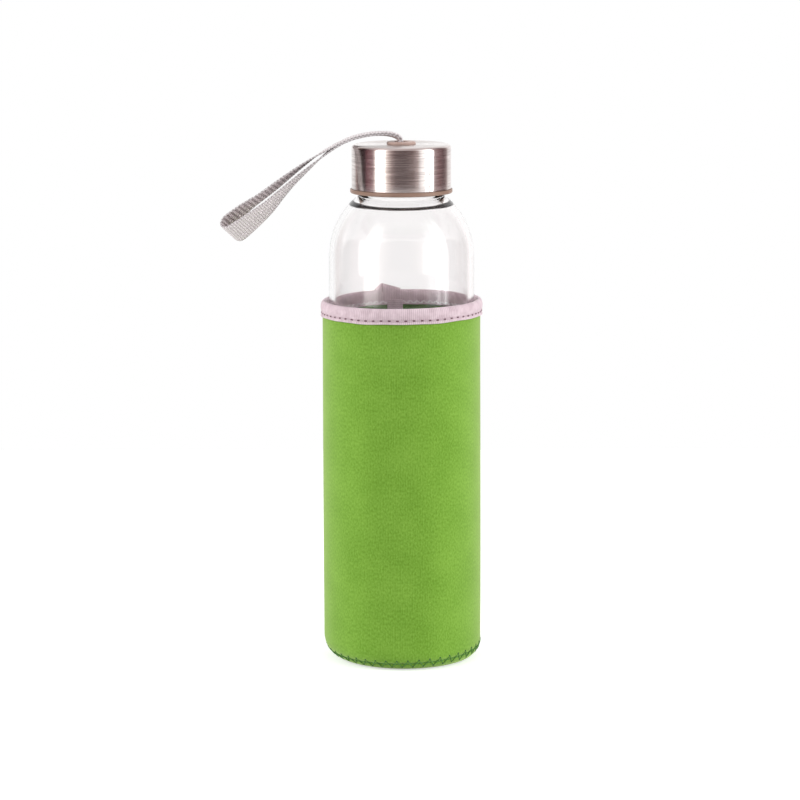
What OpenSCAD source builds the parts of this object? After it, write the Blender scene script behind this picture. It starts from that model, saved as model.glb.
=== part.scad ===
// Half-litre glass water bottle with a steel screw cap, a wrist strap and a neoprene sleeve.
// The origin is the middle of the sleeve's underside and +Z runs up the bottle. Sizes are millimetres.

/* [Glass bottle] */
// Outer radius of the glass body
glass_r = 30.25; // [27:0.25:34]
// Thickness of the glass wall
glass_wall = 2.3; // [1.8:0.1:3]
// Thickness of the glass floor
glass_floor_t = 5; // [4:0.5:7]
// Height of the straight body from the glass foot to the shoulder
glass_body_h = 167.5; // [155:0.5:185]
// Radius of the round outside the foot
heel_r = 7; // [6.5:0.25:8]
// Radius of the hollow under the foot
push_up_r = 21; // [16:0.5:22]
// Depth of the hollow under the foot
push_up_h = 2; // [1:0.25:3]
// Radius of the shoulder's arc
shoulder_r = 32.5; // [29:0.5:36]
// Outer radius of the neck
neck_r = 17.5; // [16.5:0.25:18.5]
// Radius of the hollow curve between shoulder and neck
neck_fillet_r = 3; // [2:0.25:4]
// Height of the straight neck up to the lip
neck_h = 9.9; // [9:0.1:11.5]
// Radius of the rounds along the lip
lip_round_r = 0.75; // [0.4:0.05:1]

/* [Cap] */
// Outer radius of the steel shell
shell_r = 20.7; // [20.2:0.1:22.5]
// Height of the steel shell
shell_h = 18.4; // [17.4:0.1:18.8]
// Thickness of the sheet steel
sheet_t = 0.5; // [0.4:0.05:0.7]
// Radius of the shell's upper edge
shell_edge_r = 1.5; // [1:0.1:2]
// Thickness of the liner's skirt
skirt_t = 1.2; // [1:0.05:1.3]
// Thickness of the liner's disc
disc_t = 1.6; // [1.2:0.1:2]
// Height of the rim under the shell
rim_h = 1.7; // [1.4:0.1:2.2]
// Distance by which the rim stands out past the shell
rim_out = 0.55; // [0.3:0.05:0.9]
// Height of the room for the knot, from the disc to the shell
knot_room_h = 5.3; // [5.2:0.1:6.2]
// Thickness of the seal
seal_t = 1.8; // [1.4:0.1:2.2]
// Inner radius of the seal
seal_bore_r = 14.4; // [13:0.1:15]
// Distance by which the seal stands out past the neck
seal_over = 0.7; // [0.3:0.05:0.8]

/* [Strap] */
// Radius of the hole in the shell for the plug
shell_hole_r = 4.6; // [4.4:0.1:5]
// Radius of the plug's visible flange
plug_r = 6.05; // [5.6:0.05:7]
// Height of the plug's visible flange
plug_h = 1.1; // [0.9:0.1:2]
// Radius of the plug's inner flange
plug_catch_r = 5.6; // [5.2:0.1:6]
// Height of the plug's inner flange
plug_catch_h = 1; // [0.8:0.1:1.2]
// Radius of the hole through the plug
plug_bore_r = 2.8; // [2.7:0.05:3.2]
// Width of the webbing
webbing_w = 10; // [8:0.5:12]
// Thickness of the webbing
webbing_t = 0.6; // [0.5:0.05:0.7]
// Width of the webbing where it is gathered in the plug
gathered_w = 4.8; // [4:0.1:4.9]
// Distance between the two legs at the plug, middle to middle
legs_apart = 0.85; // [0.8:0.05:1.1]
// Radius of the knot under the plug
knot_r = 4.3; // [3.6:0.1:4.8]

/* [Sleeve] */
// Thickness of the neoprene
neoprene_t = 2.45; // [2:0.05:3]
// Height of the sleeve up to the bound edge
sleeve_h = 151.9; // [135:0.1:165]
// Outer radius of the round at the foot of the sleeve
sleeve_corner_r = 9; // [8:0.25:9.5]
// Height of the base seam on the bottle's axis
seam_h = 4.9; // [4.6:0.1:6]
// Tilt of the base seam in degrees
seam_tilt = 3.8; // [0:0.1:4]
// Direction in which the base seam rises, in degrees from +X
seam_rise_az = 69; // [0:1:359]
// Height of the binding tape on the wall
binding_h = 6.3; // [5.5:0.1:9]
// Thickness of the binding tape
binding_t = 0.8; // [0.6:0.05:0.95]
// Direction of the back seam, in degrees from +X
back_seam_az = 99; // [60:1:150]
// Width of the hump where the ends of the binding overlap
overlap_w = 10; // [8:0.5:14]
// Height of the hump where the ends of the binding overlap
overlap_h = 2.4; // [1.5:0.1:3]
// Width of the tape's tail inside the sleeve
tail_w = 7; // [5:0.5:10]
// Length of the tape's tail inside the sleeve
tail_l = 14; // [8:0.5:30]
// Thickness of the tape's tail
tail_t = 0.6; // [0.4:0.05:0.75]

/* [Clearances] */
// Gap between the glass and the sleeve
sleeve_gap = 0.3; // [0.2:0.05:0.5]
// Gap between pieces that turn or slide on each other
running_gap = 0.3; // [0.25:0.05:0.4]
// Gap between the cap's liner and its shell
shell_gap = 0.1; // [0.05:0.01:0.15]
// Gap between a sewn tape and the neoprene
sewn_gap = 0.1; // [0.05:0.01:0.15]
// Gap between the seal and the lip
seat_gap = 0.2; // [0.1:0.05:0.3]

/* [Hidden] */
$fn = 96;

// Overlap of a cutting shape past the faces that it cuts
past = 1;

// Heights and radii of the glass
glass_z = neoprene_t;
shoulder_z = glass_z + glass_body_h;
shoulder_c = [glass_r - shoulder_r, shoulder_z];
fillet_c_r = neck_r + neck_fillet_r;
fillet_reach = shoulder_r + neck_fillet_r;
fillet_c = [
  fillet_c_r,
  shoulder_z + sqrt(pow(fillet_reach, 2) - pow(fillet_c_r - shoulder_c[0], 2))
];
lip_z = fillet_c[1] + neck_h;
push_up_curve_r = (pow(push_up_r, 2) + pow(push_up_h, 2)) / (2 * push_up_h);

// Heights and radii of the cap, stacked on the lip
seal_r = neck_r + seal_over;
seal_z = lip_z + seat_gap;
disc_z = seal_z + seal_t;
knot_room_z = disc_z + disc_t;
shell_top_z = knot_room_z + knot_room_h + sheet_t;
shell_z = shell_top_z - shell_h;
skirt_r = shell_r - sheet_t - shell_gap;
skirt_bore_r = skirt_r - skirt_t;
skirt_top_z = shell_top_z - shell_edge_r - shell_gap;

// Heights and radii of the plug, the knot and the strap's root
plug_top_z = shell_top_z + plug_h;
plug_stem_r = shell_hole_r - running_gap;
plug_catch_z = shell_top_z - sheet_t - running_gap - plug_catch_h;
plug_round_r = plug_h / 2;
knot_z = knot_room_z + running_gap;
knot_top_z = plug_catch_z - running_gap;
knot_round_r = (knot_top_z - knot_z) / 2;
stem_t = legs_apart + webbing_t;
stem_top_z = plug_top_z + 0.4;

// Radii and heights of the sleeve
sleeve_bore_r = glass_r + sleeve_gap;
sleeve_r = sleeve_bore_r + neoprene_t;
binding_r = sleeve_r + binding_t;
binding_z = sleeve_h - binding_h;
wall_top_z = sleeve_h - binding_t - sewn_gap;
tail_z = binding_z - tail_l;
binding_bore_r = sleeve_bore_r + binding_t + sewn_gap;
binding_round_r = 1.4;
seat_r = sleeve_bore_r - sleeve_corner_r + neoprene_t;
overlap_top_z = sleeve_h + overlap_h;
overlap_curve_r = (pow(overlap_w / 2, 2) + pow(overlap_h, 2)) / (2 * overlap_h);

// Route of the strap's middle line from the plug to the bend, one row a point:
// place along X and Y, height over the plug, share of full width, twist in degrees, added gap of the legs
route = [
  [0.5, 0, 1.8, 0, 0, 0],
  [-4, 0, 2.8, 0.2, 0, 0],
  [-8, 0, 3.2, 0.5, 0, 0],
  [-14, 0, 2.8, 0.8, 0, 0],
  [-20, 0, 1.5, 1, 0, 0.1],
  [-25, 0, -0.6, 1, 0, 0.2],
  [-30, 0, -3.5, 1, 0, 0.5],
  [-35, 0, -6.9, 1, 4, 1.3],
  [-40.5, 0, -11.1, 1, 10, 2],
  [-46, 0, -15.8, 1, 15, 2.7],
  [-51.5, 0, -20.8, 1, 21, 3.7],
  [-57, 0, -26, 1, 28, 5.3],
  [-62.5, 0.3, -31, 1, 37, 6.8],
  [-68.8, 0.8, -35.3, 1, 50, 7.6]
];
steps_per_span = 2;
bend_steps = 8;

// Solid of revolution from a profile that may cross the axis
module revolve() {
  rotate_extrude() intersection() {
    children();
    translate([0, -500]) square([500, 1500]);
  }
}

// Rectangle from the axis out to radius r, from height z0 to z1
module disc_2d(r, z0, z1) {
  translate([0, z0]) square([r, z1 - z0]);
}

// Rectangle between two radii and two heights
module ring_2d(r0, r1, z0, z1) {
  translate([r0, z0]) square([r1 - r0, z1 - z0]);
}

// Rectangle from the axis whose lower outer corner is rounded
module foot_2d(r, z0, z1, round_r) {
  disc_2d(r - round_r, z0, z1);
  disc_2d(r, z0 + round_r, z1);
  translate([r - round_r, z0 + round_r]) circle(round_r);
}

// Rectangle from the axis whose upper outer corner is rounded
module crown_2d(r, z0, z1, round_r) {
  disc_2d(r - round_r, z0, z1);
  disc_2d(r, z0, z1 - round_r);
  translate([r - round_r, z1 - round_r]) circle(round_r);
}

// Outline of the bottle drawn in by a distance: body, shoulder arc, hollow curve and neck
module bottle_2d(inset, foot_z, foot_round_r, top_z, top_round_r) {
  aim = fillet_c - shoulder_c;
  touch = shoulder_c + aim * (shoulder_r - inset) / norm(aim);
  foot_2d(glass_r - inset, foot_z, shoulder_z, foot_round_r);
  intersection() {
    translate(shoulder_c) circle(shoulder_r - inset);
    disc_2d(glass_r, shoulder_z, touch[1]);
  }
  difference() {
    disc_2d(fillet_c_r, touch[1], fillet_c[1]);
    translate(fillet_c) circle(neck_fillet_r + inset);
  }
  crown_2d(neck_r - inset, shoulder_z, top_z, top_round_r);
}

// What the round on the inner edge of the lip takes away
module lip_cut_2d() {
  bore_r = neck_r - glass_wall;
  difference() {
    ring_2d(bore_r - past, bore_r + lip_round_r, lip_z - lip_round_r, lip_z + past);
    translate([bore_r + lip_round_r, lip_z - lip_round_r]) circle(lip_round_r);
  }
}

module glass_bottle() {
  color([0.9, 0.95, 0.95, 0.35]) revolve() difference() {
    bottle_2d(0, glass_z, heel_r, lip_z, lip_round_r);
    bottle_2d(glass_wall, glass_z + glass_floor_t, heel_r, lip_z + past, lip_round_r);
    translate([0, glass_z + push_up_h - push_up_curve_r]) circle(push_up_curve_r);
    lip_cut_2d();
  }
}

module cap_shell() {
  color("silver") revolve() difference() {
    crown_2d(shell_r, shell_z, shell_top_z, shell_edge_r);
    crown_2d(shell_r - sheet_t, shell_z - past, shell_top_z - sheet_t, shell_edge_r - sheet_t);
    disc_2d(shell_hole_r, shell_z, shell_top_z + past);
  }
}

module cap_liner() {
  color([0.66, 0.57, 0.47]) revolve() {
    ring_2d(skirt_bore_r, skirt_r, shell_z - rim_h, skirt_top_z);
    difference() {
      foot_2d(shell_r + rim_out, shell_z - rim_h, shell_z, rim_h / 4);
      disc_2d(skirt_bore_r, shell_z - rim_h - past, shell_z + past);
    }
    disc_2d(skirt_r, disc_z, knot_room_z);
  }
}

module cap_seal() {
  color([0.85, 0.85, 0.83]) revolve() ring_2d(seal_bore_r, seal_r, seal_z, disc_z);
}

module strap_plug() {
  color([0.62, 0.52, 0.41]) revolve() difference() {
    union() {
      crown_2d(plug_r, shell_top_z, plug_top_z, plug_round_r);
      disc_2d(plug_stem_r, plug_catch_z, shell_top_z);
      disc_2d(plug_catch_r, plug_catch_z, plug_catch_z + plug_catch_h);
    }
    disc_2d(plug_bore_r, plug_catch_z - past, plug_top_z + past);
  }
}

module strap_knot() {
  color([0.68, 0.69, 0.69]) {
    revolve() {
      disc_2d(knot_r - knot_round_r, knot_z, knot_top_z);
      translate([knot_r - knot_round_r, knot_z + knot_round_r]) circle(knot_round_r);
    }
    translate([-stem_t / 2, -gathered_w / 2, knot_z + knot_round_r])
      cube([stem_t, gathered_w, stem_top_z - knot_z - knot_round_r]);
  }
}

// Smooth value of one column of the route at a place between its rows
function row(i) = route[max(0, min(len(route) - 1, i))];
function smooth(p0, p1, p2, p3, t) =
  (2 * p1 + (p2 - p0) * t + (2 * p0 - 5 * p1 + 4 * p2 - p3) * t * t
  + (3 * p1 - p0 - 3 * p2 + p3) * t * t * t) / 2;
function along(u) =
  let (i = min(floor(u), len(route) - 2))
  smooth(row(i - 1), row(i), row(i + 1), row(i + 2), u - i);
function middle(u) = let (p = along(u)) [p[0], p[1], plug_top_z + p[2]];
function unit(v) = v / norm(v);
function heading(u) =
  let (step = 0.05, last = len(route) - 1)
  unit(middle(min(last, u + step)) - middle(max(0, u - step)));

// Directions across the webbing and out of its face at a place on the route
function across(u) =
  let (t = heading(u), twist = along(u)[4], level = unit([0, 1, 0] - t[1] * t))
  cos(twist) * level + sin(twist) * cross(t, level);
function facing(u) = cross(heading(u), across(u));
function half_width(u) = (gathered_w + (webbing_w - gathered_w) * along(u)[3]) / 2;
function half_gap(u) = (legs_apart + along(u)[5]) / 2;

// Four corners of the webbing around a point
function ring(p, w, n, half_w) = [
  for (c = [[-1, -1], [1, -1], [1, 1], [-1, 1]]) p + w * half_w * c[0] + n * webbing_t / 2 * c[1]
];
function leg_ring(u, side) =
  ring(middle(u) + side * half_gap(u) * facing(u), across(u), side * facing(u), half_width(u));
function bend_ring(u, turn) =
  let (out = facing(u) * cos(turn) + heading(u) * sin(turn))
  ring(middle(u) + half_gap(u) * out, across(u), out, half_width(u));

module strap() {
  spans = len(route) - 1;
  stops = spans * steps_per_span;
  rings = concat(
    [for (k = [0:stops]) leg_ring(k / steps_per_span, 1)],
    [for (k = [1:bend_steps - 1]) bend_ring(spans, 180 * k / bend_steps)],
    [for (k = [stops:-1:0]) leg_ring(k / steps_per_span, -1)]
  );
  last = 4 * (len(rings) - 1);
  points = [for (r = rings) each r];
  sides = [
    for (i = [0:len(rings) - 2], j = [0:3])
      let (a = 4 * i + j, b = 4 * i + (j + 1) % 4)
      each [[a, b + 4, b], [a, a + 4, b + 4]]
  ];
  ends = [[0, 1, 2], [0, 2, 3], [last, last + 2, last + 1], [last, last + 3, last + 2]];
  color([0.72, 0.73, 0.73]) polyhedron(points, concat(sides, ends));
}

// Half-space under the tilted base seam
module under_seam() {
  block = 200;
  translate([0, 0, seam_h]) rotate([0, 0, seam_rise_az]) rotate([0, -seam_tilt, 0])
    translate([-block / 2, -block / 2, -block]) cube(block);
}

// Whole sleeve before it is parted along the base seam
module sleeve_shell() {
  revolve() difference() {
    union() {
      foot_2d(sleeve_r, 0, binding_z, sleeve_corner_r);
      disc_2d(sleeve_r, binding_z - past, wall_top_z);
    }
    foot_2d(sleeve_bore_r, neoprene_t, binding_z + past, sleeve_corner_r - neoprene_t);
    disc_2d(binding_bore_r, binding_z, wall_top_z + past);
  }
}

// What lies in the base: all under the seam, and the round floor inside the wall
module base_zone() {
  under_seam();
  translate([0, 0, -past]) cylinder(r = seat_r, h = neoprene_t + 2 * past);
}

// Part of a ring that lies on the back seam, over a width along the wall
module at_back_seam(r, w) {
  angle = w / r * 180 / PI;
  rotate([0, 0, back_seam_az - angle / 2]) rotate_extrude(angle = angle) children();
}

module sleeve_wall() {
  tail_bed_r = sleeve_bore_r + tail_t + sewn_gap;
  tail_bed_z = tail_z - sewn_gap;
  color([0.42, 0.66, 0.16]) difference() {
    sleeve_shell();
    base_zone();
    at_back_seam(sleeve_bore_r, tail_w + 2 * sewn_gap)
      ring_2d(sleeve_bore_r - past, tail_bed_r, tail_bed_z, binding_z + past);
  }
}

module sleeve_base() {
  color([0.36, 0.6, 0.14]) intersection() {
    sleeve_shell();
    base_zone();
  }
}

module sleeve_binding() {
  hump_z = sleeve_h - binding_t / 2;
  color([0.78, 0.7, 0.72]) {
    revolve() difference() {
      crown_2d(binding_r, binding_z, sleeve_h, binding_round_r);
      disc_2d(sleeve_bore_r, binding_z - past, sleeve_h + past);
      ring_2d(binding_bore_r - sewn_gap, sleeve_r + sewn_gap, binding_z - past, wall_top_z + sewn_gap);
    }
    intersection() {
      revolve() ring_2d(sleeve_bore_r + sewn_gap, binding_r - sewn_gap, hump_z, overlap_top_z + past);
      rotate([0, 0, back_seam_az]) translate([sleeve_r, 0, overlap_top_z - overlap_curve_r])
        rotate([0, 90, 0]) cylinder(r = overlap_curve_r, h = 4 * neoprene_t, center = true);
    }
  }
}

module binding_tail() {
  color([0.7, 0.62, 0.65]) at_back_seam(sleeve_bore_r, tail_w)
    ring_2d(sleeve_bore_r, sleeve_bore_r + tail_t, tail_z, binding_z);
}

glass_bottle();
cap_shell();
cap_liner();
cap_seal();
strap_plug();
strap();
strap_knot();
sleeve_wall();
sleeve_base();
sleeve_binding();
binding_tail();
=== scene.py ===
"""Looks of a glass water bottle with a steel screw cap, a wrist strap and a neoprene sleeve."""

import logging
import math
from collections.abc import Callable, Sequence
from dataclasses import dataclass, field
from enum import Enum

import bmesh
import bpy
from mathutils import Matrix, Vector


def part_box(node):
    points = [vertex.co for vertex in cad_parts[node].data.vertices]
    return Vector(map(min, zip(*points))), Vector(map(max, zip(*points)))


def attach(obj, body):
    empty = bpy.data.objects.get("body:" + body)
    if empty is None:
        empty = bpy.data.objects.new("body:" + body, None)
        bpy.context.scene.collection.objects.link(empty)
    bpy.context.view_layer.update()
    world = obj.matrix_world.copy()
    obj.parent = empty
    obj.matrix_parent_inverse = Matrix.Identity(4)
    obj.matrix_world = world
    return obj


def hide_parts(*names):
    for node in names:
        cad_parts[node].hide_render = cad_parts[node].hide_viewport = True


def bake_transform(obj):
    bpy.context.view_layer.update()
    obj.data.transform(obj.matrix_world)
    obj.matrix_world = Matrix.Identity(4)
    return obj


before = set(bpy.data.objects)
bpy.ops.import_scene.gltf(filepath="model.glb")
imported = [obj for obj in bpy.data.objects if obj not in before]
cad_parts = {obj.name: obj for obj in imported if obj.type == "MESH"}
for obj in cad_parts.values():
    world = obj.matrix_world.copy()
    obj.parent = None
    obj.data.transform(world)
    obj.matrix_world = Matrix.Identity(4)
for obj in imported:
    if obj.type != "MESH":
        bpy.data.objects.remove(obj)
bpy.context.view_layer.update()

# Pieces are modelled in millimetres and scaled to metres when they become objects.
MM = 0.001
TURN = 2 * math.pi
MERGE = 1e-4
SHARP_ANGLE = math.radians(38)
CLOTH_MAP = "cloth"
# Direction of the sleeve's back seam, from +X towards +Y
BACK_SEAM = math.radians(99)
LOG = logging.getLogger("water_bottle")

Point = tuple[float, float]
Colour = tuple[float, float, float, float]


def linear(code: str) -> Colour:
    """Turn an sRGB hex colour into a linear one.

    Args:
        code: Colour such as "#7CA841".

    Returns:
        Linear red, green, blue and an alpha of 1.
    """
    channels = [int(code[i:i + 2], 16) / 255 for i in (1, 3, 5)]
    red, green, blue = (c / 12.92 if c <= 0.04045 else ((c + 0.055) / 1.055) ** 2.4 for c in channels)
    return red, green, blue, 1.0


def grey(level: float) -> Colour:
    """Give a linear grey."""
    return level, level, level, 1.0


def add_node(tree: bpy.types.NodeTree, kind: str, settings: dict | None = None) -> bpy.types.Node:
    """Add a shader node with its settings and links.

    Args:
        tree: Node tree that gets the node.
        kind: Node type without its ShaderNode prefix.
        settings: Values by property name, input name or input number. A socket is linked, and stops
            fill a colour ramp with places and colours.

    Returns:
        The new node.
    """
    node = tree.nodes.new("ShaderNode" + kind)
    for key, value in (settings or {}).items():
        if key == "stops":
            elements = node.color_ramp.elements
            elements.remove(elements[1])
            elements[0].position, elements[0].color = value[0]
            for place, colour in value[1:]:
                elements.new(place).color = colour
        elif isinstance(value, bpy.types.NodeSocket):
            tree.links.new(value, node.inputs[key])
        elif isinstance(key, str) and key not in node.inputs:
            setattr(node, key, value)
        else:
            node.inputs[key].default_value = value
    return node


def from_polished(tree: bpy.types.NodeTree, ray: bpy.types.Node) -> bpy.types.NodeSocket:
    """Tell the rays that come from polished or clear things and met nothing matt before.

    Args:
        tree: Node tree that gets the nodes.
        ray: Its Light Path node.

    Returns:
        A socket with 1 for such a ray and 0 for any other.
    """
    shiny = add_node(tree, "Math", {
        "operation": "MAXIMUM", 0: ray.outputs["Is Glossy Ray"], 1: ray.outputs["Is Transmission Ray"],
    })
    direct = add_node(tree, "Math", {"operation": "LESS_THAN", 0: ray.outputs["Diffuse Depth"], 1: 0.5})
    both = add_node(tree, "Math", {"operation": "MULTIPLY", 0: shiny.outputs[0], 1: direct.outputs[0]})
    return both.outputs[0]


@dataclass(frozen=True)
class Extent:
    """Size of a round CAD node at rest, in millimetres."""

    radius: float
    bottom: float
    top: float

    @classmethod
    def of(cls, node: str) -> "Extent":
        """Measure a node of the frame.

        Args:
            node: Name of the CAD node.

        Returns:
            Its radius along X, and its lowest and highest point.
        """
        low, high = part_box(node)
        return cls(high.x / MM, low.z / MM, high.z / MM)


def extent_of(node: str) -> Extent:
    """Give a dataclass field that is measured on a node of the frame."""
    return field(default_factory=lambda: Extent.of(node))


@dataclass(frozen=True)
class Finish:
    """What a surface is made of and how it was made."""

    name: str

    def shader(self, tree: bpy.types.NodeTree) -> bpy.types.Node:
        """Build the surface shader in a node tree."""
        raise NotImplementedError

    def material(self) -> bpy.types.Material:
        """Make the material, or find the one made before.

        Returns:
            A node material with this finish.
        """
        made = bpy.data.materials.get(self.name)
        if made is not None:
            return made
        made = bpy.data.materials.new(self.name)
        made.use_nodes = True
        tree = made.node_tree
        tree.nodes.clear()
        add_node(tree, "OutputMaterial", {"Surface": self.shader(tree).outputs[0]})
        return made


@dataclass(frozen=True)
class MouldedGlass(Finish):
    """Soda-lime glass blown in a mould: clear, with faint waves that bend its highlights."""

    colour: str = "#FBFAFA"
    ior: float = 1.5
    wave_mm: float = 25.0
    wave_depth_mm: float = 0.05

    def shader(self, tree: bpy.types.NodeTree) -> bpy.types.Node:
        """Build a clear glass with a faint waviness.

        Args:
            tree: Node tree of the material.

        Returns:
            The surface shader.
        """
        place = add_node(tree, "TexCoord").outputs["Object"]
        wave = add_node(tree, "TexNoise", {"Vector": place, "Scale": 1 / (self.wave_mm * MM), "Detail": 1.0})
        bump = add_node(tree, "Bump", {
            "Height": wave.outputs["Fac"], "Strength": 0.3, "Distance": self.wave_depth_mm * MM,
        })
        return add_node(tree, "BsdfPrincipled", {
            "Base Color": linear(self.colour), "Roughness": 0.0, "IOR": self.ior,
            "Transmission Weight": 1.0, "Normal": bump.outputs[0],
        })


@dataclass(frozen=True)
class BrushedSteel(Finish):
    """Drawn stainless sheet, brushed on a lathe: fine scratches round the axis stretch its highlights."""

    dark: str = "#B7AEAB"
    light: str = "#E7E0DD"
    scratch_mm: float = 0.25
    scratch_length_mm: float = 9.0
    scratch_weight: float = 0.6
    tint_mm: float = 0.5

    def shader(self, tree: bpy.types.NodeTree) -> bpy.types.Node:
        """Build scratches that run round the axis on the side and on the top.

        Args:
            tree: Node tree of the material.

        Returns:
            The surface shader.
        """
        place = add_node(tree, "SeparateXYZ", {0: add_node(tree, "TexCoord").outputs["Object"]})
        flat = add_node(tree, "CombineXYZ", {"X": place.outputs["X"], "Y": place.outputs["Y"]})
        radius = add_node(tree, "VectorMath", {"operation": "LENGTH", 0: flat.outputs[0]})
        rise = add_node(tree, "Math", {
            "operation": "SUBTRACT", 0: place.outputs["Z"], 1: radius.outputs["Value"],
        })
        along = 1 / (self.scratch_length_mm * MM)
        lay = add_node(tree, "CombineXYZ", {
            "X": place.outputs["X"], "Y": place.outputs["Y"], "Z": rise.outputs[0],
        })
        fine_lay = add_node(tree, "VectorMath", {
            "operation": "MULTIPLY", 0: lay.outputs[0], 1: (along, along, 1 / (self.scratch_mm * MM)),
        })
        tint_lay = add_node(tree, "VectorMath", {
            "operation": "MULTIPLY", 0: lay.outputs[0], 1: (along / 2, along / 2, 1 / (self.tint_mm * MM)),
        })
        fine = add_node(tree, "TexNoise", {"Vector": fine_lay.outputs[0], "Scale": 1.0, "Detail": 3.0})
        tint = add_node(tree, "TexNoise", {"Vector": tint_lay.outputs[0], "Scale": 1.0, "Detail": 2.0})
        mixed = add_node(tree, "Math", {
            "operation": "MULTIPLY_ADD", 0: fine.outputs["Fac"], 1: self.scratch_weight,
            2: tint.outputs["Fac"],
        })
        share = add_node(tree, "MapRange", {"Value": mixed.outputs[0], "From Min": 0.55, "From Max": 1.05})
        colour = add_node(tree, "Mix", {
            "data_type": "RGBA", 0: share.outputs[0], 6: linear(self.dark), 7: linear(self.light),
        })
        rough = add_node(tree, "MapRange", {"Value": fine.outputs["Fac"], "To Min": 0.18, "To Max": 0.23})
        bump = add_node(tree, "Bump", {
            "Height": fine.outputs["Fac"], "Strength": 0.035, "Distance": 0.02 * MM,
        })
        round_axis = add_node(tree, "Tangent", {"direction_type": "RADIAL", "axis": "Z"})
        return add_node(tree, "BsdfPrincipled", {
            "Base Color": colour.outputs[2], "Metallic": 1.0, "Roughness": rough.outputs[0],
            "Anisotropic": 0.95, "Anisotropic Rotation": 0.25, "Tangent": round_axis.outputs[0],
            "Normal": bump.outputs[0],
        })


@dataclass(frozen=True)
class MouldedPlastic(Finish):
    """Injection-moulded plastic or rubber: even colour, a fine grain from the tool and soft flow marks."""

    dark: str = "#86695B"
    light: str = "#A08373"
    roughness: float = 0.42
    grain_mm: float = 0.5
    flow_mm: float = 7.0

    def shader(self, tree: bpy.types.NodeTree) -> bpy.types.Node:
        """Build a grained satin surface.

        Args:
            tree: Node tree of the material.

        Returns:
            The surface shader.
        """
        place = add_node(tree, "TexCoord").outputs["Object"]
        grain, flow = (
            add_node(tree, "TexNoise", {"Vector": place, "Scale": 1 / (size * MM), "Detail": 2.0})
            for size in (self.grain_mm, self.flow_mm)
        )
        colour = add_node(tree, "Mix", {
            "data_type": "RGBA", 0: flow.outputs["Fac"], 6: linear(self.dark), 7: linear(self.light),
        })
        rough = add_node(tree, "MapRange", {
            "Value": grain.outputs["Fac"], "To Min": self.roughness - 0.08, "To Max": self.roughness + 0.08,
        })
        bump = add_node(tree, "Bump", {
            "Height": grain.outputs["Fac"], "Strength": 0.25, "Distance": 0.04 * MM,
        })
        return add_node(tree, "BsdfPrincipled", {
            "Base Color": colour.outputs[2], "Roughness": rough.outputs[0], "Normal": bump.outputs[0],
        })


@dataclass(frozen=True)
class JerseyNeoprene(Finish):
    """Foam sheet faced with knitted nylon jersey: a matt ground of fine wales with a pale fuzz."""

    dark: str = "#6A982C"
    light: str = "#86B444"
    # The knit's wales are 0.5 mm apart, which is near a pixel, so they are drawn 0.7 mm apart.
    wale_mm: float = 0.7
    loop_mm: float = 1.1
    wale_weight: float = 0.06
    mottle_mm: float = 14.0
    mottle_weight: float = 0.35
    fuzz: str = "#E6FCB4"

    def shader(self, tree: bpy.types.NodeTree) -> bpy.types.Node:
        """Build a mottled knit on the cloth's own map, in millimetres round and up the sleeve.

        Args:
            tree: Node tree of the material.

        Returns:
            The surface shader.
        """
        cloth = add_node(tree, "UVMap", {"uv_map": CLOTH_MAP}).outputs[0]
        across = add_node(tree, "SeparateXYZ", {0: cloth}).outputs["X"]
        phase = add_node(tree, "Math", {"operation": "MULTIPLY", 0: across, 1: TURN / self.wale_mm})
        wale = add_node(tree, "Math", {"operation": "SINE", 0: phase.outputs[0]})
        loops = add_node(tree, "Mapping", {
            "Vector": cloth, "Scale": (1 / self.wale_mm, 1 / self.loop_mm, 1.0),
        })
        knit = add_node(tree, "TexNoise", {"Vector": loops.outputs[0], "Scale": 1.0, "Detail": 3.0})
        mottle = add_node(tree, "TexNoise", {"Vector": cloth, "Scale": 1 / self.mottle_mm, "Detail": 2.0})
        ground = add_node(tree, "Math", {
            "operation": "MULTIPLY_ADD", 0: mottle.outputs["Fac"], 1: self.mottle_weight,
            2: knit.outputs["Fac"],
        })
        height = add_node(tree, "Math", {
            "operation": "MULTIPLY_ADD", 0: wale.outputs[0], 1: self.wale_weight, 2: ground.outputs[0],
        })
        share = add_node(tree, "MapRange", {"Value": height.outputs[0], "From Min": 0.48, "From Max": 0.86})
        colour = add_node(tree, "Mix", {
            "data_type": "RGBA", 0: share.outputs[0], 6: linear(self.dark), 7: linear(self.light),
        })
        bump = add_node(tree, "Bump", {"Height": height.outputs[0], "Strength": 0.5, "Distance": 0.12 * MM})
        return add_node(tree, "BsdfPrincipled", {
            "Base Color": colour.outputs[2], "Roughness": 0.95, "Specular IOR Level": 0.15,
            "Sheen Weight": 1.0, "Sheen Roughness": 0.46, "Sheen Tint": linear(self.fuzz),
            "Normal": bump.outputs[0],
        })


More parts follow.
